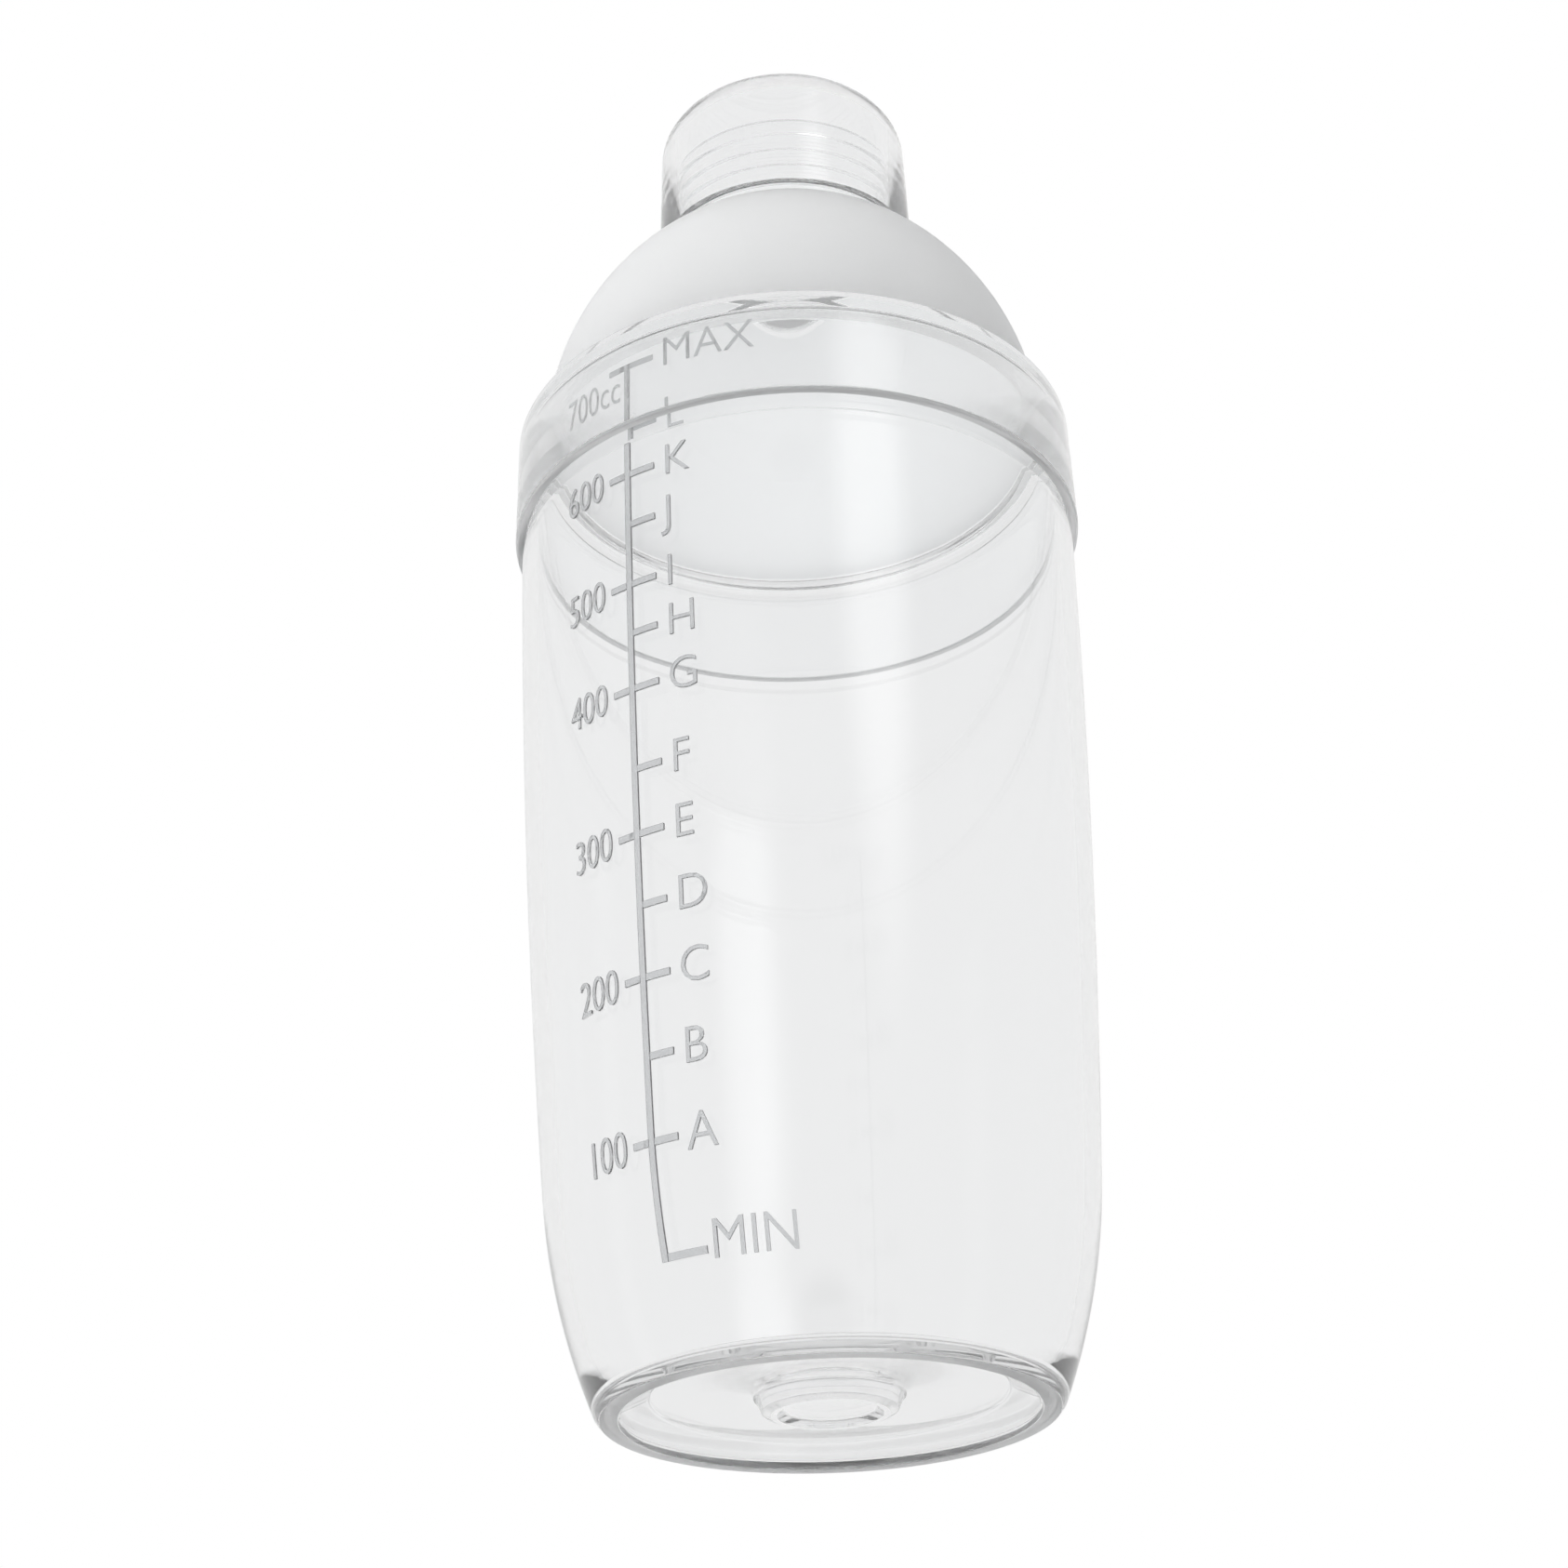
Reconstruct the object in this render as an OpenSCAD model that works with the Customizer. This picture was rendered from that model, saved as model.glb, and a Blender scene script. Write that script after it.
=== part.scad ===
// Clear 700 ml shaker bottle: a barrel-shaped cup with a moulded foot ring, a domed
// lid whose skirt slips over the cup's mouth, and a cap that pushes over the lid's neck.
// Millimetres, +Z up. The origin is the centre of the foot, on the surface it stands on.

/* [Cup] */
// Height of the cup, from the surface it stands on to its rim
cup_h = 156; // [120:1:200]
// Outside radius of the cup where it is widest
cup_r = 44; // [38:0.5:56]
// Thickness of the cup's wall
cup_wall = 2.4; // [1.8:0.1:3]
// Distance from the rim down to the widest part of the barrel
belly_drop = 5; // [0:1:12]
// Radius of the long curve of the barrel
belly_curve_r = 1730; // [1000:10:2400]
// Height at which the barrel's long curve turns into the heel
heel_h = 31.5; // [24:0.5:60]
// Radius of the heel's curve
heel_curve_r = 98; // [80:1:300]
// Width of the bevel round the outside of the foot
foot_edge = 0.8; // [0.3:0.1:1.5]

/* [Cup mouth] */
// Height of the mouth, from the shoulder to the rim
mouth_h = 18.5; // [14:0.5:26]
// How far the mouth is set in from the shoulder
mouth_step = 0.7; // [0.3:0.1:0.9]
// Bevel on both edges of the rim
rim_bevel = 0.4; // [0.2:0.1:0.5]

/* [Cup base] */
// Width of the ring that the cup stands on
foot_land = 2.6; // [1.6:0.1:4]
// Height of the ring's inner face, before the base slopes up
foot_lip = 0.4; // [0.2:0.1:1.5]
// Depth of the hollow under the middle of the base
foot_recess = 2.8; // [2:0.1:4]
// Width of the slope between the foot ring and the flat of that hollow
recess_slope_w = 4.2; // [2:0.1:6]
// Thickness of the base, measured upright
base_t = 2; // [1.6:0.1:4]
// Radius of the corner between the base and the wall, inside the cup
floor_corner_r = 1; // [0.5:0.5:3]
// Radius of the moulding boss where it meets the base
boss_r = 10.4; // [9:0.1:13]
// How much smaller the boss's radius is at its lower edge
boss_draft = 0.9; // [0.3:0.1:1.5]
// Width of the bevel round the boss's lower face
boss_bevel_w = 1.2; // [0.6:0.1:3]
// Height of that bevel
boss_bevel_h = 0.5; // [0.2:0.1:0.8]
// Width of the flat ring round the dish in the boss's lower face
boss_rim = 0.9; // [0.5:0.1:2]
// Depth of that dish, whose side slopes at 45 degrees
boss_dish = 0.9; // [0.2:0.1:1.2]
// Gap between the boss and the surface that the cup stands on
boss_gap = 0.4; // [0.2:0.1:0.8]

/* [Lid skirt] */
// Gap left between the cup's shoulder and the skirt's lower edge
shoulder_gap = 3; // [1:0.5:8]
// Thickness of the skirt at its lower edge
skirt_wall = 1.7; // [1.4:0.1:3]
// How much thinner the skirt is at its top
skirt_draft = 0.35; // [0:0.05:0.6]
// Height of the collar above the cup's rim
collar_t = 2.6; // [1.5:0.1:5]
// Radial clearance between the skirt and the cup's mouth
lid_fit = 0.08; // [0.02:0.01:0.1]
// Gap between the lid's seat and the cup's rim
seat_gap = 0.1; // [0:0.05:0.2]

/* [Lid dome] */
// How far the dome stands in from the skirt's bore
dome_inset = 2.6; // [2:0.1:4]
// Height of the dome, from the collar to the neck's band
dome_h = 38.2; // [30:0.1:40]
// Thickness of the dome
dome_wall = 2; // [1.5:0.1:3]

/* [Lid neck] */
// How far the plain band under the cap stands in from the cap's edge
band_inset = 0.5; // [0.2:0.1:1.5]
// Height of that band, from the dome to the cap's edge
band_h = 1.5; // [1:0.1:5]
// Height of the neck above the band
neck_h = 14.5; // [13:0.5:20]
// Thickness of the neck's wall
neck_wall = 1.8; // [1.5:0.1:2.5]
// Number of ribs round the neck
rib_count = 3; // [1:1:3]
// Height of the first rib above the band
rib_start = 4.8; // [4:0.1:5]
// Distance from one rib to the next
rib_pitch = 3.3; // [2.5:0.1:3.3]
// Height of one rib
rib_h = 1.2; // [0.8:0.1:1.6]

/* [Strainer] */
// Thickness of the strainer plate
plate_t = 1.8; // [1.2:0.1:2.5]
// How far the top of the plate lies below the top of the band
plate_drop = 1; // [0.5:0.1:1.5]
// Diameter of each strainer hole
hole_d = 4; // [2:0.1:4.2]
// Number of rings of holes round the middle one
hole_rings = 2; // [1:1:2]
// Width of the plate left plain outside the holes
hole_margin = 3.25; // [1:0.25:5]

/* [Cap] */
// Height of the cap
cap_h = 26.1; // [22:0.1:36]
// Outside radius of the cap at its lower edge
cap_r = 21.4; // [17:0.1:26]
// How much smaller the cap's radius is at its top
cap_draft = 0.7; // [0.4:0.1:1.2]
// Thickness of the cap's wall
cap_wall = 1.9; // [1.5:0.1:2.2]
// Thickness of the cap's top
cap_top_t = 2.2; // [1.5:0.1:3]
// Radius of the rounded edge round the cap's top
cap_round = 6; // [3:0.5:8]
// Radial clearance between the cap and the neck's ribs
cap_fit = 0.08; // [0.02:0.01:0.1]
// Radial clearance between the cap and the rest of the neck
neck_gap = 0.45; // [0.35:0.05:0.8]
// Gap between the cap's lower edge and the band
cap_gap = 0.1; // [0.05:0.05:0.3]

/* [Hidden] */
$fn = 180;

// A cut goes this far past what it cuts, so that no skin is left
eps = 0.5;
clear_plastic = [0.90, 0.92, 0.93, 0.45];
frosted_plastic = [0.84, 0.85, 0.86, 0.8];

// Cup. The heel's arc carries on from the barrel's long curve without a corner.
belly_z = cup_h - belly_drop;
heel_lean = asin((belly_z - heel_h) / belly_curve_r);
heel_centre = [belly_radius(heel_h) - heel_curve_r * cos(heel_lean),
               heel_h + heel_curve_r * sin(heel_lean)];
shoulder_z = cup_h - mouth_h;
floor_z = foot_recess + base_t;
mouth_r = belly_radius(shoulder_z) - mouth_step;
foot_r = cup_radius(0) - foot_edge / 2;
recess_r = foot_r - foot_land;
recess_flat_r = recess_r - recess_slope_w;
boss_edge_r = boss_r - boss_draft;
boss_face_r = boss_edge_r - boss_bevel_w;
dish_r = boss_face_r - boss_rim;

// Lid
bore_r = mouth_r + lid_fit;
skirt_z = shoulder_z + shoulder_gap;
seat_z = cup_h + seat_gap;
collar_z = cup_h + collar_t;
skirt_r = bore_r + skirt_wall;
collar_r = skirt_r - skirt_draft;
dome_r = bore_r - dome_inset;
band_r = cap_r - band_inset;
band_z = collar_z + dome_h;
neck_z = band_z + band_h;
neck_top_z = neck_z + neck_h;
plate_z = neck_z - plate_drop;
plate_under_z = plate_z - plate_t;

// The dome is one arc that leaves the collar upright and ends at the band
dome_run = dome_r - band_r;
dome_curve_r = (dome_run * dome_run + dome_h * dome_h) / (2 * dome_run);

// Cap
cap_z = neck_z + cap_gap;
cap_top_z = cap_z + cap_h;

// The neck follows the cap's bore, and the strainer plate fills the neck
neck_r = cap_bore(neck_z) - neck_gap;
plate_r = neck_r - neck_wall;
hole_pitch = (plate_r - hole_margin - hole_d / 2) / hole_rings;

// Radius of the barrel's outside on its long curve, at height z
function belly_radius(z) =
    cup_r - belly_curve_r + sqrt(pow(belly_curve_r, 2) - pow(belly_z - z, 2));

// Radius of the barrel's outside on the heel's arc, at height z
function heel_radius(z) =
    heel_centre.x + sqrt(pow(heel_curve_r, 2) - pow(heel_centre.y - z, 2));

function cup_radius(z) = z < heel_h ? heel_radius(z) : belly_radius(z);

// Radius of the dome at height z, a distance t inside its outer face
function dome_radius(z, t = 0) =
    dome_r - dome_curve_r + sqrt(pow(dome_curve_r - t, 2) - pow(z - collar_z, 2));

// Inside radius of the cap at height z
function cap_bore(z) = cap_r - cap_wall - cap_draft * (z - cap_z) / cap_h;

// Points of the cup's wall from height z0 to z1 in n steps, a distance t inside it
function cup_side(z0, z1, n, t = 0) =
    [for (i = [0:n]) let (z = z0 + (z1 - z0) * i / n) [cup_radius(z) - t, z]];

// Points of the dome from the collar up to height z in n steps, a distance t inside it
function dome_side(z, n, t = 0) =
    [for (i = [0:n]) let (h = collar_z + (z - collar_z) * sin(90 * i / n)) [dome_radius(h, t), h]];

// The same points in the other order
function reversed(points) = [for (i = [len(points) - 1:-1:0]) points[i]];

// Points of an arc about centre c, from angle a0 to a1 in n steps
function arc_points(c, r, a0, a1, n) =
    [for (i = [0:n]) let (a = a0 + (a1 - a0) * i / n) c + r * [cos(a), sin(a)]];

module cup_shape() {
    corner_z = foot_lip + base_t + floor_corner_r;
    inner_corner = [cup_radius(corner_z) - cup_wall - floor_corner_r, corner_z];
    inner_rim_r = cup_radius(cup_h) - cup_wall;
    polygon(concat(
        [[0, boss_gap + boss_dish], [dish_r - boss_dish, boss_gap + boss_dish],
         [dish_r, boss_gap], [boss_face_r, boss_gap],
         [boss_edge_r, boss_gap + boss_bevel_h], [boss_r, foot_recess],
         [recess_flat_r, foot_recess], [recess_r - foot_edge / 2, foot_lip],
         [recess_r, 0], [foot_r, 0]],
        cup_side(foot_edge, heel_h, 8),
        cup_side(heel_h, shoulder_z, 8),
        [[mouth_r, shoulder_z + mouth_step],
         [mouth_r, cup_h - rim_bevel], [mouth_r - rim_bevel, cup_h],
         [inner_rim_r + rim_bevel, cup_h]],
        cup_side(cup_h - rim_bevel, heel_h, 8, cup_wall),
        cup_side(heel_h, inner_corner.y, 6, cup_wall),
        arc_points(inner_corner, floor_corner_r, 0, -90, 5),
        [[recess_flat_r, floor_z], [0, floor_z]]));
}

module cup() {
    color(clear_plastic) rotate_extrude() cup_shape();
}

module rib_shape(z) {
    tip_r = cap_bore(z + rib_h / 2) - cap_fit;
    root_r = cap_bore(z) - neck_gap - eps;
    polygon([[root_r, z - rib_h / 2], [tip_r, z - rib_h / 4],
             [tip_r, z + rib_h / 4], [root_r, z + rib_h / 2]]);
}

// The lid is one moulding. It is kept as four solids that meet face to face.
module lid_skirt() {
    dome_in_r = dome_radius(collar_z, dome_wall);
    color(clear_plastic) rotate_extrude()
        polygon([[bore_r, skirt_z], [skirt_r, skirt_z], [collar_r, collar_z],
                 [dome_in_r, collar_z], [dome_in_r, seat_z], [bore_r, seat_z]]);
}

module lid_dome() {
    color(frosted_plastic) rotate_extrude()
        polygon(concat(
            dome_side(band_z, 12),
            [[plate_r, band_z], [plate_r, plate_under_z]],
            reversed(dome_side(plate_under_z, 12, dome_wall))));
}

module lid_strainer() {
    color(clear_plastic) difference() {
        translate([0, 0, plate_under_z]) cylinder(r = plate_r, h = plate_t);
        for (ring = [0:hole_rings])
            for (i = [0:max(1, 6 * ring) - 1])
                rotate(360 * i / max(1, 6 * ring))
                    translate([hole_pitch * ring, 0, plate_under_z - eps])
                        cylinder(d = hole_d, h = plate_t + 2 * eps, $fn = 48);
    }
}

module lid_neck() {
    neck_tip_r = cap_bore(neck_top_z) - neck_gap;
    color(clear_plastic) rotate_extrude() {
        polygon([[plate_r, band_z], [band_r, band_z], [band_r, neck_z], [neck_r, neck_z],
                 [neck_tip_r, neck_top_z - rim_bevel], [neck_tip_r - rim_bevel, neck_top_z],
                 [neck_tip_r - neck_wall + rim_bevel, neck_top_z],
                 [neck_tip_r - neck_wall, neck_top_z - rim_bevel],
                 [plate_r, plate_z]]);
        for (i = [0:rib_count - 1])
            rib_shape(neck_z + rib_start + rib_pitch * i);
    }
}

module cap_shape() {
    tip_r = cap_r - cap_draft;
    inner_round = max(0.5, cap_round - cap_wall);
    ceiling_z = cap_top_z - cap_top_t;
    polygon(concat(
        [[cap_bore(cap_z), cap_z], [cap_r - rim_bevel, cap_z], [cap_r, cap_z + rim_bevel]],
        arc_points([tip_r - cap_round, cap_top_z - cap_round], cap_round, 0, 90, 8),
        [[0, cap_top_z], [0, ceiling_z]],
        arc_points([cap_bore(ceiling_z) - inner_round, ceiling_z - inner_round],
                   inner_round, 90, 0, 6)));
}

module cap() {
    color(clear_plastic) rotate_extrude() cap_shape();
}

cup();
lid_skirt();
lid_dome();
lid_strainer();
lid_neck();
cap();
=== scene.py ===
import math

import bpy
from mathutils import Matrix, Vector


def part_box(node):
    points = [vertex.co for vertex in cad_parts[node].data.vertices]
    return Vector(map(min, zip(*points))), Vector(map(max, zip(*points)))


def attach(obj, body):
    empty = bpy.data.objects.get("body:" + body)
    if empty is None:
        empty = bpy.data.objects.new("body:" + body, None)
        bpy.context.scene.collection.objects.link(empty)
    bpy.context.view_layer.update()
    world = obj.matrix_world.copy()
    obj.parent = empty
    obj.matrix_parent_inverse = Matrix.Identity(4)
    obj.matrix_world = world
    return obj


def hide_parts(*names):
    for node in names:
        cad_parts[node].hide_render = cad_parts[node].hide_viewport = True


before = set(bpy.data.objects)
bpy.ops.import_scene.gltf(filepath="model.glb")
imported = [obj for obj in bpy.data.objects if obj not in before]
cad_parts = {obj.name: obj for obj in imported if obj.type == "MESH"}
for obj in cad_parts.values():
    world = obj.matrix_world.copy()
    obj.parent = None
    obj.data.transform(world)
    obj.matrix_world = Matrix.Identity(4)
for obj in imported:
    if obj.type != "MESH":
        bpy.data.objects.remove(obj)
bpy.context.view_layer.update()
bpy.ops.object.select_all(action="DESELECT")

# Cup. One clear polycarbonate moulding: a barrel-shaped wall on a foot ring, a base that
# rises inside the ring and carries the moulding gate's dished boss, and a mouth set in above
# a small shoulder for the lid's skirt. It is injection moulded, so its edges are rounded.

MM = 0.001
TURNED_SIDES = 240
SMOOTH_BELOW = math.radians(32)

cup_foot, cup_rim = (corner.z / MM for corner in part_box("cup"))
cup_wall = 2.4
belly_r, belly_z, belly_curve_r = 44.0, 151.0, 1730.0
heel_z, heel_curve_r = 31.5, 98.0
shoulder_z, mouth_step = 137.5, 0.7
foot_edge, foot_land, foot_lip, foot_lean, foot_round = 0.4, 2.6, 0.4, 0.4, 0.9
recess_z, recess_slope_w, recess_round = 2.8, 4.2, 1.2
base_t, floor_corner_r = 2.0, 1.0
boss_r, boss_draft, boss_bevel_w, boss_rim_w = 10.4, 0.9, 1.2, 0.9
boss_gap, boss_bevel_h, dish_depth = 0.4, 0.5, 0.9


def belly_radius(z):
    return belly_r - belly_curve_r + math.sqrt(belly_curve_r**2 - (belly_z - z) ** 2)


heel_lean = math.asin((belly_z - heel_z) / belly_curve_r)
heel_centre_r = belly_radius(heel_z) - heel_curve_r * math.cos(heel_lean)
heel_centre_z = heel_z + heel_curve_r * math.sin(heel_lean)


def cup_radius(z):
    """Outside radius of the barrel at height z, in millimetres."""
    if z >= heel_z:
        return belly_radius(z)
    return heel_centre_r + math.sqrt(heel_curve_r**2 - (heel_centre_z - z) ** 2)


def along(z0, z1, steps, radius):
    """Outline points from height z0 to z1 on the curve that radius(z) gives."""
    heights = [z0 + (z1 - z0) * i / steps for i in range(steps + 1)]
    return [(radius(z), z, 0) for z in heights]


def rounded(corners, arc_steps=5):
    """The outline through corners (radius, height, rounding), with each rounding as an arc."""
    points = [Vector(corners[0][:2])]
    for before, here, after in zip(corners, corners[1:], corners[2:]):
        corner, rounding = Vector(here[:2]), here[2]
        if not rounding:
            points.append(corner)
            continue
        back = (Vector(before[:2]) - corner).normalized()
        ahead = (Vector(after[:2]) - corner).normalized()
        half = back.angle(ahead) / 2
        centre = corner + (back + ahead).normalized() * rounding / math.sin(half)
        start = corner + back * rounding / math.tan(half) - centre
        turn = start.angle_signed(corner + ahead * rounding / math.tan(half) - centre)
        for i in range(arc_steps + 1):
            spoke = start.copy()
            spoke.rotate(Matrix.Rotation(-turn * i / arc_steps, 2))
            points.append(centre + spoke)
    return points + [Vector(corners[-1][:2])]


def turned(name, outline):
    """Draws a half outline that starts and ends on the bottle's axis, and spins it."""
    bpy.ops.mesh.primitive_plane_add(size=MM)
    piece = bpy.context.object
    piece.name = name
    bpy.ops.object.mode_set(mode="EDIT")
    bpy.ops.mesh.merge(type="CENTER")
    here = Vector((0, 0))
    for i, point in enumerate(outline):
        step = ((point.x - here.x) * MM, 0, (point.y - here.y) * MM)
        if i:
            bpy.ops.mesh.extrude_region_move(TRANSFORM_OT_translate={"value": step})
        else:
            bpy.ops.transform.translate(value=step)
        here = point
    bpy.ops.mesh.select_all(action="SELECT")
    bpy.ops.mesh.spin(steps=TURNED_SIDES, angle=math.tau, center=(0, 0, 0), axis=(0, 0, 1))
    bpy.ops.mesh.select_all(action="SELECT")
    bpy.ops.mesh.remove_doubles(threshold=MM / 500)
    bpy.ops.mesh.normals_make_consistent(inside=False)
    bpy.ops.mesh.select_all(action="DESELECT")
    bpy.ops.object.mode_set(mode="OBJECT")
    bpy.ops.object.shade_smooth_by_angle(angle=SMOOTH_BELOW)
    piece.select_set(False)
    return piece


def inner_radius(z):
    return cup_radius(z) - cup_wall


foot_outer_r = cup_radius(cup_foot) - foot_edge
foot_inner_r = foot_outer_r - foot_land
recess_flat_r = foot_inner_r - recess_slope_w
boss_edge_r = boss_r - boss_draft
boss_face_r = boss_edge_r - boss_bevel_w
dish_r = boss_face_r - boss_rim_w
dish_z = boss_gap + dish_depth
gutter_z = foot_lip + base_t
gutter_r = inner_radius(gutter_z + floor_corner_r)
mouth_r = cup_radius(shoulder_z) - mouth_step
cup = turned(
    "cup",
    rounded(
        [
            (0, dish_z, 0),
            (dish_r - dish_depth, dish_z, 0.5),
            (dish_r, boss_gap, 0.15),
            (boss_face_r, boss_gap, 0.25),
            (boss_edge_r, boss_gap + boss_bevel_h, 0.3),
            (boss_r, recess_z, 0.5),
            (recess_flat_r, recess_z, recess_round),
            (foot_inner_r - foot_lean, foot_lip, 0.2),
            (foot_inner_r, cup_foot, 0.2),
            (foot_outer_r, cup_foot, 0.6),
        ]
        + along(foot_round, shoulder_z - 1, 70, cup_radius)
        + [
            (cup_radius(shoulder_z), shoulder_z, 0.35),
            (mouth_r, shoulder_z + mouth_step, 0.3),
            (mouth_r, cup_rim, 0.5),
            (inner_radius(cup_rim), cup_rim, 0.6),
        ]
        + along(cup_rim - 2, gutter_z + 2, 60, inner_radius)
        + [
            (gutter_r, gutter_z, floor_corner_r - 0.15),
            (gutter_r - floor_corner_r, gutter_z, 0.3),
            (recess_flat_r, recess_z + base_t, recess_round),
            (0, recess_z + base_t, 0),
        ]
    ),
)


class Value:
    """A number that varies over a surface. Arithmetic on it adds Math nodes."""

    def __init__(self, finish, socket):
        self.finish, self.socket = finish, socket

    def __add__(self, other):
        return self.finish.math("ADD", self, other)

    def __radd__(self, other):
        return self.finish.math("ADD", other, self)

    def __sub__(self, other):
        return self.finish.math("SUBTRACT", self, other)

    def __rsub__(self, other):
        return self.finish.math("SUBTRACT", other, self)

    def __mul__(self, other):
        return self.finish.math("MULTIPLY", self, other)

    def __rmul__(self, other):
        return self.finish.math("MULTIPLY", other, self)


class Finish:
    """The nodes of one finish, or of the studio round the bottle."""

    def __init__(self, owner):
        owner.use_nodes = True
        self.tree = owner.node_tree
        self.tree.nodes.clear()

    def node(self, kind, inputs=(), output=0, stops=(), **settings):
        """Adds a node. Its settings are set first, then the values or links of its sockets."""
        made = self.tree.nodes.new(kind)
        for key, setting in settings.items():
            setattr(made, key, setting)
        for i, (position, shade) in enumerate(stops):
            marks = made.color_ramp.elements
            stop = marks[i] if i < 2 else marks.new(position)
            stop.position = position
            stop.color = (shade, shade, shade, 1)
        for key, value in dict(inputs).items():
            if isinstance(value, Value):
                self.tree.links.new(value.socket, made.inputs[key])
            else:
                made.inputs[key].default_value = value
        return Value(self, made.outputs[output]) if made.outputs else made

    def math(self, operation, *operands):
        return self.node("ShaderNodeMath", dict(enumerate(operands)), operation=operation)


def plastic(name, colours, roughness, grain, depth, clearness, milky=0.0):
    """Polycarbonate: colour and roughness drift between two values, under a fine grain.

    Light goes straight through the share clearness of the surface. A milky one also lets
    soft light through. depth is the grain's, in millimetres.
    """
    (colour_low, colour_high), (rough_low, rough_high) = colours, roughness
    material = bpy.data.materials.new(name)
    finish = Finish(material)
    place = finish.node("ShaderNodeTexCoord", output="Object")
    drift = finish.node("ShaderNodeTexNoise", {"Vector": place, "Scale": 28.0, "Detail": 3.0})
    wear = finish.node("ShaderNodeTexNoise", {"Vector": place, "Scale": 420.0, "Detail": 4.0})
    fine = finish.node("ShaderNodeTexNoise", {"Vector": place, "Scale": grain, "Detail": 2.0})
    colour = finish.node(
        "ShaderNodeMix",
        {0: drift, 6: (*colour_low, 1), 7: (*colour_high, 1)},
        output=2,
        data_type="RGBA",
    )
    bump = finish.node(
        "ShaderNodeBump", {"Height": fine, "Strength": 1.0, "Distance": depth * MM}
    )
    shader = finish.node(
        "ShaderNodeBsdfPrincipled",
        {
            "Base Color": colour,
            "Roughness": rough_low + (rough_high - rough_low) * wear,
            "Normal": bump,
            "IOR": 1.585,
            "Transmission Weight": clearness,
        },
    )
    if milky:
        through = finish.node(
            "ShaderNodeBsdfTranslucent", {"Color": (*colour_high, 1), "Normal": bump}
        )
        shader = finish.node("ShaderNodeMixShader", {0: milky, 1: shader, 2: through})
    tint = finish.node(
        "ShaderNodeVolumeAbsorption", {"Color": (0.05, 0.08, 0.09, 1), "Density": 0.9}
    )
    finish.node("ShaderNodeOutputMaterial", {"Surface": shader, "Volume": tint})
    return material


clear = plastic(
    "clear_polycarbonate",
    colours=((0.985, 0.988, 0.99), (0.992, 0.994, 0.996)),
    roughness=(0.0, 0.03),
    grain=60.0,
    depth=0.01,
    clearness=0.99,
)
# Matt edge finish. Its higher roughness is the matt of moulded edges. Its grey colour is
# painted shade, standing in for the dark bands that refraction shows at rounded corners.
edge = plastic(
    "matt_edge_painted_shade",
    colours=((0.72, 0.725, 0.73), (0.8, 0.805, 0.81)),
    roughness=(0.24, 0.4),
    grain=900.0,
    depth=0.01,
    clearness=0.85,
)


# Faces that point further down than this get the painted shade.
SHADE_FACES_DOWN = -0.4


def paint_edge_shade(piece, radius, z, reach, downwards=True):
    """Gives the faces within reach of a corner of the outline the matt edge finish, whose grey
    colour is painted shade.
    """
    if edge.name not in piece.data.materials:
        piece.data.materials.append(edge)
    slot = piece.data.materials.find(edge.name)
    for face in piece.data.polygons:
        at = face.center / MM
        away = math.hypot(math.hypot(at.x, at.y) - radius, at.z - z)
        if away < reach and (face.normal.z < SHADE_FACES_DOWN or not downwards):
            face.material_index = slot


cup.data.materials.append(clear)
# Painted shade: the downward faces of the foot ring take the grey edge finish.
paint_edge_shade(cup, (foot_inner_r + foot_outer_r) / 2, cup_foot, reach=1.2)
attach(cup, "cup")
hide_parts("cup")

# Volume scale. It is moulded proud of the cup's wall with the cup itself: an upright line
# from MIN to MAX, a tick every 50 cc, numerals every 100 cc and a letter at each tick.
# The raised faces are lightly grained, which is why they show grey on the clear wall.

mark_w, mark_rise, mouth_mark_rise, mark_gap = 1.0, 0.3, 0.05, 0.012
letter_h, capital_share, stroke_thinning = 5.4, 0.73, -0.06
letter_stretch, numeral_stretch, top_numeral_stretch = 0.92, 0.74, 0.66
line_azimuth, tick_end_azimuth, numeral_tick_azimuth = -34.0, -27.9, -38.4
letter_azimuth, numeral_azimuth, top_numeral_azimuth = -26.0, -40.0, -35.6
line_foot_z, line_top_z, mouth_line_z = 13.2, 151.8, shoulder_z + 1.2
min_tick_z, min_tick_azimuth, min_word_z, min_word_azimuth = 13.7, -24.0, 14.6, -23.2
top_numeral, top_numeral_drop = "700cc", 3.4
press_from_r = belly_r + 6
TICKS = [
    (28.9, "A", "100"),
    (40.7, "B", ""),
    (52.0, "C", "200"),
    (62.6, "D", ""),
    (73.3, "E", "300"),
    (83.3, "F", ""),
    (96.0, "G", "400"),
    (105.0, "H", ""),
    (113.1, "I", "500"),
    (123.2, "J", ""),
    (131.9, "K", "600"),
    (140.5, "L", ""),
    (151.3, "MAX", top_numeral),
]
mark_parts = []
grained = plastic(
    "grained_marks",
    colours=((0.7, 0.71, 0.72), (0.76, 0.77, 0.78)),
    roughness=(0.16, 0.3),
    grain=9000.0,
    depth=0.002,
    clearness=0.9,
)


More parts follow.
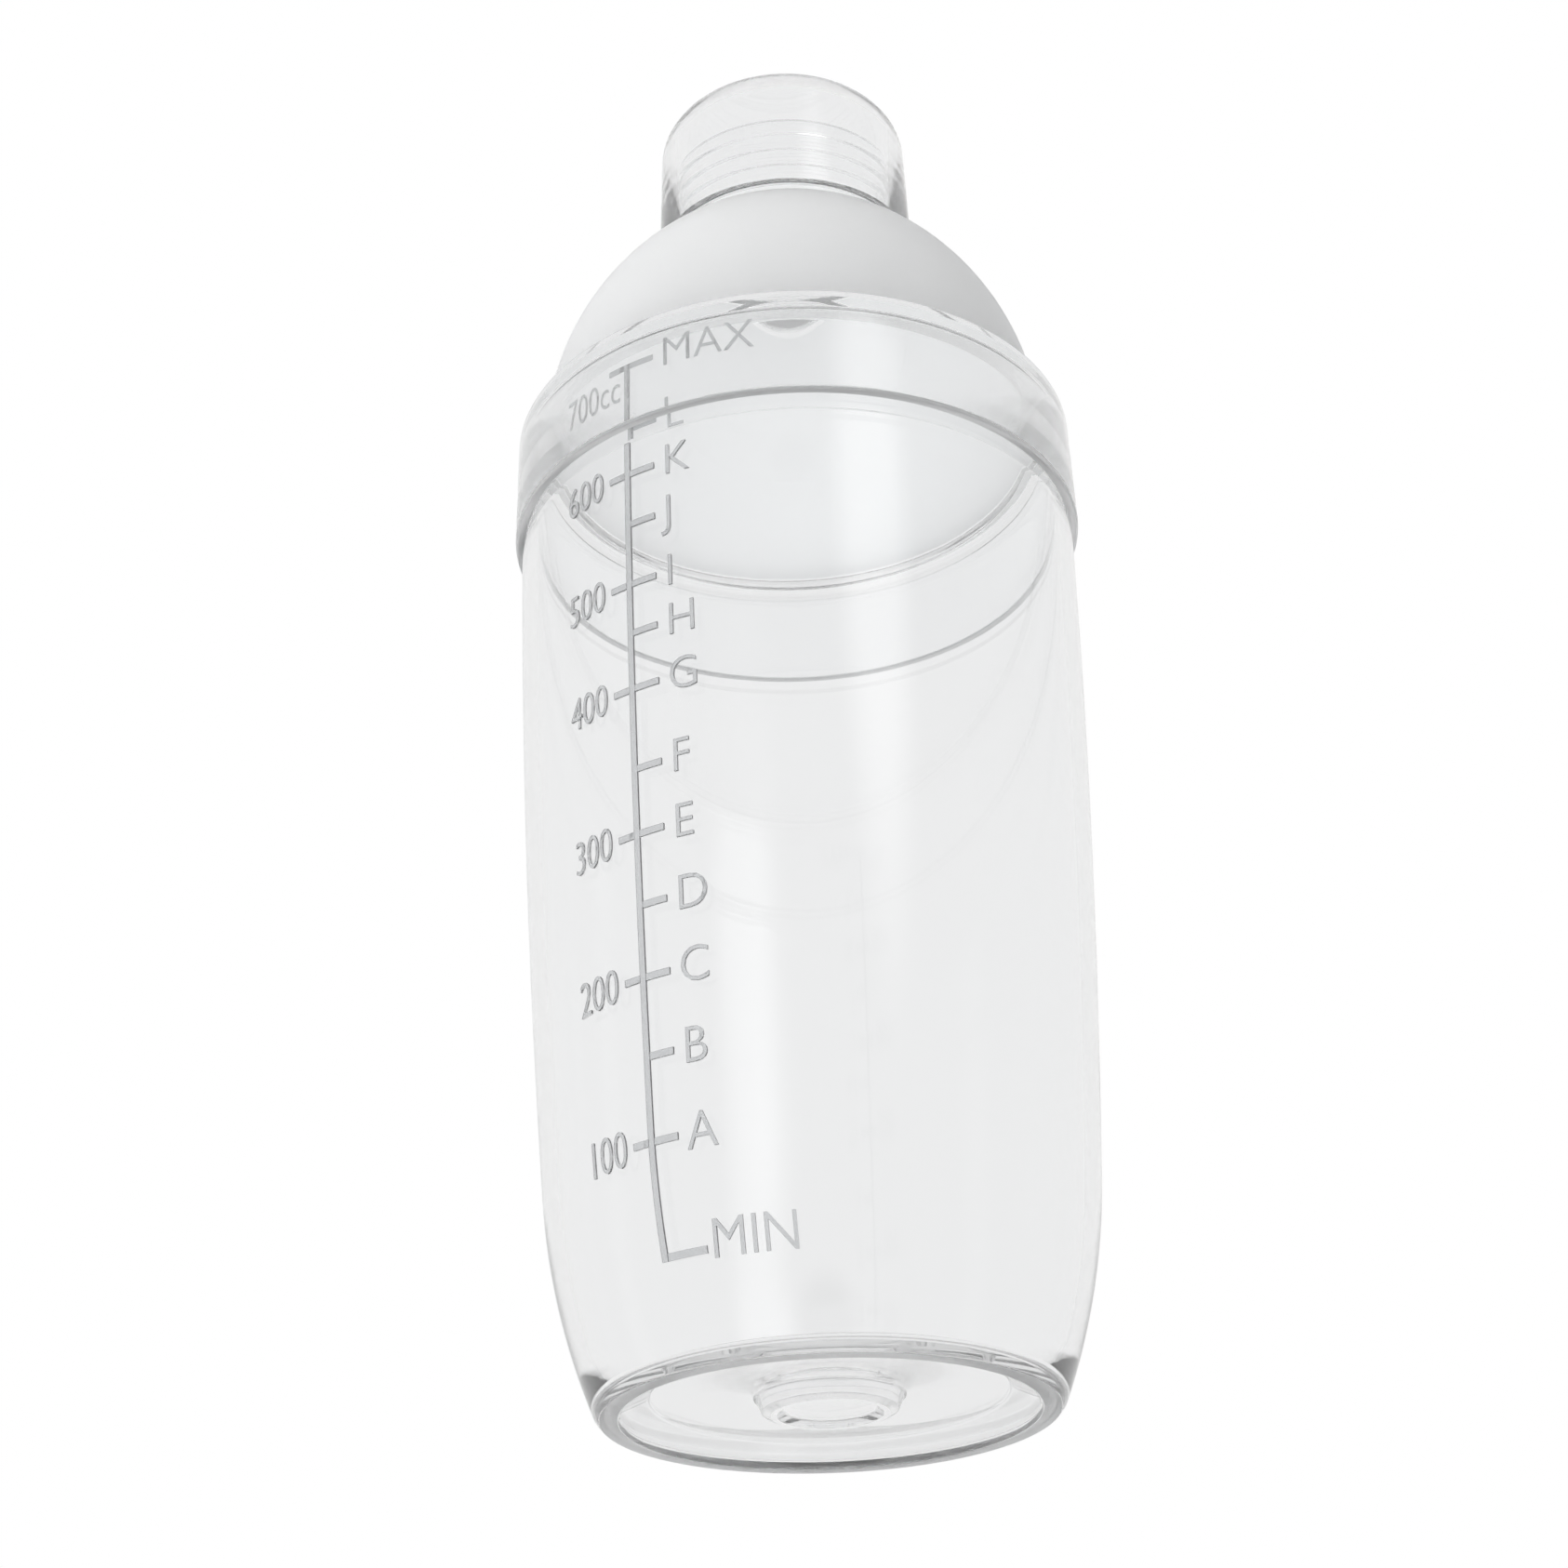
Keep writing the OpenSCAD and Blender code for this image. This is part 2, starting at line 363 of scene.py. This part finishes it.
def lay_on_wall(part, azimuth, z, cuts, rise):
    """Presses a flat part that faces -Y onto the cup's wall, and gives it its thickness."""
    part.data.materials.append(grained)
    # The sides of each raised mark take the edge finish, so they carry its painted shade.
    part.data.materials.append(edge)
    bpy.ops.object.transform_apply(location=True, rotation=True, scale=True)
    bpy.ops.object.mode_set(mode="EDIT")
    xs = [corner.co.x for corner in part.data.vertices]
    for i in range(1, cuts):
        bpy.ops.mesh.select_all(action="SELECT")
        at = min(xs) + (max(xs) - min(xs)) * i / cuts
        bpy.ops.mesh.bisect(plane_co=(at, 0, 0), plane_no=(1, 0, 0))
    bpy.ops.object.mode_set(mode="OBJECT")
    turn = math.radians(azimuth)
    start = press_from_r * MM
    part.location = (math.sin(turn) * start, -math.cos(turn) * start, z * MM)
    part.rotation_euler = (0, 0, turn)
    press = part.modifiers.new("press", "SHRINKWRAP")
    press.target = cup
    press.wrap_method = "PROJECT"
    press.use_project_y = True
    press.use_positive_direction = True
    press.use_negative_direction = False
    press.offset = 0
    rise_by = part.modifiers.new("rise", "SOLIDIFY")
    rise_by.thickness = (rise + mark_gap) * MM
    rise_by.offset = 1
    rise_by.material_offset_rim = 1
    bpy.ops.object.modifier_apply(modifier="press")
    bpy.ops.object.modifier_apply(modifier="rise")
    mark_parts.append(part)
    part.select_set(False)


def stroke(azimuth_from, azimuth_to, z, height, rise):
    """A straight mark between two azimuths, height millimetres tall and centred on z."""
    width = math.radians(azimuth_to - azimuth_from) * cup_radius(z)
    bpy.ops.mesh.primitive_plane_add(size=1)
    part = bpy.context.object
    part.scale = (width * MM, height * MM, 1)
    part.rotation_euler = (math.pi / 2, 0, 0)
    bpy.ops.object.transform_apply(rotation=True, scale=True)
    bpy.ops.object.mode_set(mode="EDIT")
    lengths = round(height / 2)
    for i in range(1, max(1, lengths)):
        bpy.ops.mesh.select_all(action="SELECT")
        at = (i / lengths - 0.5) * height * MM
        bpy.ops.mesh.bisect(plane_co=(0, 0, at), plane_no=(0, 0, 1))
    bpy.ops.object.mode_set(mode="OBJECT")
    lay_on_wall(part, (azimuth_from + azimuth_to) / 2, z, max(2, round(width)), rise)


def lettering(words, azimuth, z, stretch, side, rise):
    """Words whose near edge is at azimuth. side is 1 to the right of it and -1 to the left."""
    bpy.ops.object.text_add()
    text = bpy.context.object
    text.data.body = words
    text.data.align_x = "LEFT" if side > 0 else "RIGHT"
    text.data.align_y = "CENTER"
    text.data.size = letter_h * MM / capital_share
    text.data.resolution_u = 4
    text.data.offset = stroke_thinning * MM
    text.scale = (stretch, 1, 1)
    text.rotation_euler = (math.pi / 2, 0, 0)
    bpy.ops.object.convert(target="MESH")
    part = bpy.context.object
    bpy.ops.object.transform_apply(location=True, rotation=True, scale=True)
    xs = [corner.co.x for corner in part.data.vertices]
    middle, width = (min(xs) + max(xs)) / 2, (max(xs) - min(xs)) / MM
    part.location.x = -middle
    bpy.ops.object.transform_apply(location=True)
    turn = math.degrees(middle / MM / cup_radius(z))
    lay_on_wall(part, azimuth + turn, z, max(2, round(width)), rise)


half_line = math.degrees(mark_w / 2 / belly_r)
line_left, line_right = line_azimuth - half_line, line_azimuth + half_line
for low_z, high_z, line_rise in (
    (line_foot_z, shoulder_z, mark_rise),
    (mouth_line_z, line_top_z, mouth_mark_rise),
):
    stroke(line_left, line_right, (low_z + high_z) / 2, high_z - low_z, line_rise)
stroke(line_right, min_tick_azimuth, min_tick_z, mark_w, mark_rise)
lettering("MIN", min_word_azimuth, min_word_z, letter_stretch, 1, mark_rise)
for z, letter, numeral in TICKS:
    rise = mark_rise if z < shoulder_z else mouth_mark_rise
    stroke(line_right, tick_end_azimuth, z, mark_w, rise)
    lettering(letter, letter_azimuth, z, letter_stretch, 1, rise)
    if not numeral:
        continue
    stroke(numeral_tick_azimuth, line_left, z, mark_w, rise)
    if numeral == top_numeral:
        below = z - top_numeral_drop
        lettering(numeral, top_numeral_azimuth, below, top_numeral_stretch, -1, rise)
    else:
        lettering(numeral, numeral_azimuth, z, numeral_stretch, -1, rise)

for part in mark_parts:
    part.select_set(True)
bpy.context.view_layer.objects.active = mark_parts[0]
bpy.ops.object.join()
scale_marks = bpy.context.object
scale_marks.name = "scale_marks"
bpy.ops.object.transform_apply(location=True, rotation=True, scale=True)
bpy.ops.object.shade_smooth_by_angle(angle=SMOOTH_BELOW)
scale_marks.select_set(False)
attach(scale_marks, "cup")

# Lid. One polycarbonate moulding: a clear skirt that slips over the cup's mouth, a ledge
# that rests on the rim, a dome that is finely frosted outside, and a clear band and neck.
# The neck has three thin ribs that grip the cap, and a strainer plate moulded across it.

skirt_z, collar_z = (corner.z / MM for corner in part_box("lid_skirt"))
band_z, neck_top_z = (corner.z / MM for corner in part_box("lid_neck"))
plate_under_z, plate_z = (corner.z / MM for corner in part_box("lid_strainer"))
cap_z, cap_top_z = (corner.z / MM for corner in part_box("cap"))
lid_fit, seat_gap, skirt_wall, skirt_draft = 0.08, 0.1, 1.7, 0.35
dome_inset, dome_wall = 2.6, 2.0
cap_r, cap_draft, cap_wall = 21.4, 0.7, 1.9
band_inset, band_h = 0.5, 1.5
neck_wall, neck_gap = 1.8, 0.45
rib_count, rib_start, rib_pitch, rib_h, rib_round, rib_fit = 3, 4.8, 3.3, 1.2, 0.35, 0.08

bore_r = mouth_r + lid_fit
skirt_r = bore_r + skirt_wall
collar_r = skirt_r - skirt_draft
seat_z = cup_rim + seat_gap
dome_r = bore_r - dome_inset
band_r = cap_r - band_inset
neck_z = band_z + band_h
dome_run, dome_h = dome_r - band_r, band_z - collar_z
dome_curve_r = (dome_run**2 + dome_h**2) / (2 * dome_run)


def cap_bore(z):
    return cap_r - cap_wall - cap_draft * (z - cap_z) / (cap_top_z - cap_z)


def dome_radius(z, inside=0.0):
    """Radius of the dome at height z, on a surface that lies inside its outer one."""
    run = math.sqrt((dome_curve_r - inside) ** 2 - (z - collar_z) ** 2)
    return dome_r - dome_curve_r + run


def dome_inner_radius(z):
    return dome_radius(z, dome_wall)


def neck_radius(z):
    return cap_bore(z) - neck_gap


ribs = []
for i in range(rib_count):
    rib_z = neck_z + rib_start + rib_pitch * i
    rib_under_z, rib_over_z = rib_z - rib_h / 2, rib_z + rib_h / 2
    tip_r = cap_bore(rib_z) - rib_fit
    ribs += [
        (neck_radius(rib_under_z), rib_under_z, rib_round),
        (tip_r, rib_z - rib_h / 4, rib_round),
        (tip_r, rib_z + rib_h / 4, rib_round),
        (neck_radius(rib_over_z), rib_over_z, rib_round),
    ]
lid = turned(
    "lid",
    rounded(
        [(0, plate_under_z, 0), (dome_inner_radius(plate_under_z), plate_under_z, 0.5)]
        + along(plate_under_z - 1, collar_z, 40, dome_inner_radius)
        + [
            (dome_r - dome_wall, seat_z, 0.3),
            (bore_r, seat_z, 0.3),
            (bore_r, skirt_z, 0.4),
            (skirt_r, skirt_z, 0.5),
            (collar_r, collar_z, 0.4),
            (dome_r, collar_z, 0.5),
        ]
        + along(collar_z + 0.9, band_z - 0.9, 60, dome_radius)
        + [
            (band_r, band_z, 0.4),
            (band_r, neck_z, 0.3),
            (neck_radius(neck_z), neck_z, 0.3),
        ]
        + ribs
        + [
            (neck_radius(neck_top_z), neck_top_z, 0.5),
            (neck_radius(neck_top_z) - neck_wall, neck_top_z, 0.5),
            (neck_radius(plate_z) - neck_wall, plate_z, 0.4),
            (0, plate_z, 0),
        ]
    ),
)

hole_d, hole_pitch, hole_rings, drill_length = 4.0, 6.0, 2, 6.0
drills = []
for ring in range(hole_rings + 1):
    count = max(1, 6 * ring)
    for i in range(count):
        turn = math.tau * i / count
        bpy.ops.mesh.primitive_cylinder_add(
            vertices=40,
            radius=hole_d / 2 * MM,
            depth=drill_length * MM,
            location=(
                math.cos(turn) * hole_pitch * ring * MM,
                math.sin(turn) * hole_pitch * ring * MM,
                (plate_under_z + plate_z) / 2 * MM,
            ),
        )
        drills.append(bpy.context.object)
        drills[-1].select_set(False)
for drill in drills:
    drill.select_set(True)
bpy.ops.object.join()
all_drills = bpy.context.object
all_drills.select_set(False)
bpy.context.view_layer.objects.active = lid
lid.select_set(True)
cut = lid.modifiers.new("drill", "BOOLEAN")
cut.object = all_drills
bpy.ops.object.modifier_apply(modifier="drill")
bpy.ops.object.shade_smooth_by_angle(angle=SMOOTH_BELOW)
bpy.data.objects.remove(all_drills)
lid.select_set(False)

frosted = plastic(
    "frosted_polycarbonate",
    colours=((0.975, 0.98, 0.982), (0.99, 0.993, 0.995)),
    roughness=(0.4, 0.52),
    grain=5200.0,
    depth=0.02,
    clearness=0.6,
    milky=0.6,
)
frost_from_z, frost_to_z, skin_t = collar_z + 0.35, band_z - 0.3, 0.7
lid.data.materials.clear()
lid.data.materials.append(clear)
lid.data.materials.append(frosted)
for face in lid.data.polygons:
    at = face.center / MM
    if frost_from_z < at.z < frost_to_z:
        face.material_index = int(math.hypot(at.x, at.y) > dome_radius(at.z, skin_t))
# Painted shade: the skirt's lower rim and the collar's top corner take the grey edge finish,
# standing in for the dark lines refraction shows there.
paint_edge_shade(lid, (bore_r + skirt_r) / 2, skirt_z, reach=0.9)
paint_edge_shade(lid, collar_r, collar_z, reach=0.6, downwards=False)
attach(lid, "lid")
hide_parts("lid_skirt", "lid_dome", "lid_strainer", "lid_neck")

# Cap. One clear polycarbonate moulding that pushes over the neck's ribs: a slightly
# tapered cup with a rounded top, thick enough at the top to be used as a measure.

cap_round, cap_top_t = 6.0, 2.2
ceiling_z = cap_top_z - cap_top_t
cap = turned(
    "cap",
    rounded(
        [
            (0, cap_top_z, 0),
            (cap_r - cap_draft, cap_top_z, cap_round),
            (cap_r, cap_z, 0.5),
            (cap_bore(cap_z), cap_z, 0.3),
            (cap_bore(ceiling_z), ceiling_z, cap_round - cap_wall),
            (0, ceiling_z, 0),
        ],
        arc_steps=14,
    ),
)
cap.data.materials.append(clear)
# Painted shade: the cap's lower rim takes the grey edge finish.
paint_edge_shade(cap, (cap_r + cap_bore(cap_z)) / 2, cap_z, reach=0.5)
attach(cap, "cap")
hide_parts("cap")

# Floor. A plain pale table top under the foot, painted matt. It is seen from above only,
# since the bottle is looked at from below its base, and it fades out into the white studio.

bpy.ops.mesh.primitive_circle_add(vertices=96, radius=2.5, fill_type="NGON")
floor = bpy.context.object
floor.name = "floor"
floor_paint = bpy.data.materials.new("pale_floor")
paint = Finish(floor_paint)
spot = paint.node("ShaderNodeTexCoord", output="Object")
from_foot = paint.node(
    "ShaderNodeVectorMath", {0: spot}, output="Value", operation="LENGTH"
)
fade = paint.node(
    "ShaderNodeMapRange", {"Value": from_foot, "From Min": 0.25, "From Max": 1.3}
)
under = paint.node("ShaderNodeNewGeometry", output="Backfacing")
hidden = paint.math("MAXIMUM", under, fade)
top = paint.node("ShaderNodeBsdfDiffuse", {"Color": (0.86, 0.86, 0.86, 1)})
gone = paint.node("ShaderNodeBsdfTransparent")
paint.node(
    "ShaderNodeOutputMaterial",
    {"Surface": paint.node("ShaderNodeMixShader", {0: hidden, 1: top, 2: gone})},
)
floor.data.materials.append(floor_paint)
floor.visible_diffuse = False
floor.visible_glossy = False
floor.visible_transmission = False
floor.visible_shadow = False
floor.select_set(False)

# Studio. White all round to the eye. What the plastic mirrors and bends is a pale grey
# tent, with two soft oval lights in front of the bottle and a dark cloth low before it.
# Two lamps, which the plastic doesn't mirror, light the frosted dome from both sides.

studio = bpy.data.worlds.new("studio")
bpy.context.scene.world = studio
tent = Finish(studio)
direction = tent.node("ShaderNodeTexCoord", output="Generated")
height = tent.node("ShaderNodeSeparateXYZ", {0: direction}, output="Z")
tent_grey = tent.node(
    "ShaderNodeValToRGB",
    {0: height * 0.5 + 0.5},
    stops=[(0.0, 0.82), (0.45, 0.84), (0.62, 0.87), (0.82, 0.88), (1.0, 0.86)],
)


def soft_oval(azimuth, elevation, half_wide, half_tall, strength, softness):
    """A soft oval on the tent. Azimuth is from -Y towards +X, and angles are in degrees."""
    turn, lift = math.radians(azimuth), math.radians(elevation)
    level = math.cos(lift)
    centre = Vector((math.sin(turn) * level, -math.cos(turn) * level, math.sin(lift)))
    side = Vector((math.cos(turn), math.sin(turn), 0))

    def share(axis):
        return tent.node(
            "ShaderNodeVectorMath",
            {0: direction, 1: axis},
            output="Value",
            operation="DOT_PRODUCT",
        )

    across = share(side / math.sin(math.radians(half_wide)))
    up = share(centre.cross(side) / math.sin(math.radians(half_tall)))
    inside = tent.node(
        "ShaderNodeMapRange",
        {
            "Value": tent.math("SQRT", across * across + up * up),
            "From Min": 1.0,
            "From Max": 1.0 - softness,
        },
        interpolation_type="SMOOTHSTEP",
    )
    in_front = tent.math("GREATER_THAN", share(centre), 0.0)
    return inside * in_front * strength


high_light = soft_oval(
    azimuth=31, elevation=32, half_wide=17, half_tall=19, strength=0.95, softness=0.7
)
low_light = soft_oval(
    azimuth=-19, elevation=8, half_wide=15, half_tall=24, strength=0.3, softness=0.95
)
dark_cloth = soft_oval(
    azimuth=0, elevation=-25, half_wide=17, half_tall=12, strength=0.6, softness=0.6
)
lit = tent.node("ShaderNodeRGBToBW", {0: tent_grey}) + (high_light + low_light) - dark_cloth
eye = tent.node("ShaderNodeLightPath", output="Is Camera Ray")
shown = lit + (1.0 - lit) * eye
background = tent.node("ShaderNodeBackground", {"Color": (1, 1, 1, 1), "Strength": shown})
tent.node("ShaderNodeOutputWorld", {"Surface": background})

lamp_width = 0.9
for lamp_name, place, watts in (
    ("key_light", (-1.1, -1.3, 0.4), 24),
    ("back_light", (0.5, 1.4, 0.6), 26),
):
    bpy.ops.object.light_add(type="AREA", location=place)
    lamp = bpy.context.object
    lamp.name = lamp_name
    lamp.data.shape = "DISK"
    lamp.data.size = lamp_width
    lamp.data.energy = watts
    lamp.visible_camera = False
    lamp.visible_glossy = False
    lamp.visible_transmission = False
    aim = Vector((0, 0, cup_rim * MM)) - lamp.location
    lamp.rotation_euler = aim.to_track_quat("-Z", "Y").to_euler()

# Camera. It looks up at the bottle from below its foot, a little off upright. Light goes
# through many clear walls on its way, so it may bounce often before it is lost.

pan, tilt, roll = (math.radians(angle) for angle in (0.508, 27.291, -1.975))
bpy.ops.object.camera_add(location=(0, -0.3872, -0.10132))
camera = bpy.context.object
camera.data.lens = 65.05
camera.data.sensor_width = 36
camera.matrix_world = (
    Matrix.Translation(camera.location)
    @ Matrix.Rotation(pan, 4, "Z")
    @ Matrix.Rotation(math.pi / 2 + tilt, 4, "X")
    @ Matrix.Rotation(roll, 4, "Z")
)
scene = bpy.context.scene
scene.camera = camera
scene.view_settings.view_transform = "Standard"
scene.cycles.max_bounces = 48
scene.cycles.transmission_bounces = 48
scene.cycles.glossy_bounces = 48
scene.cycles.diffuse_bounces = 24
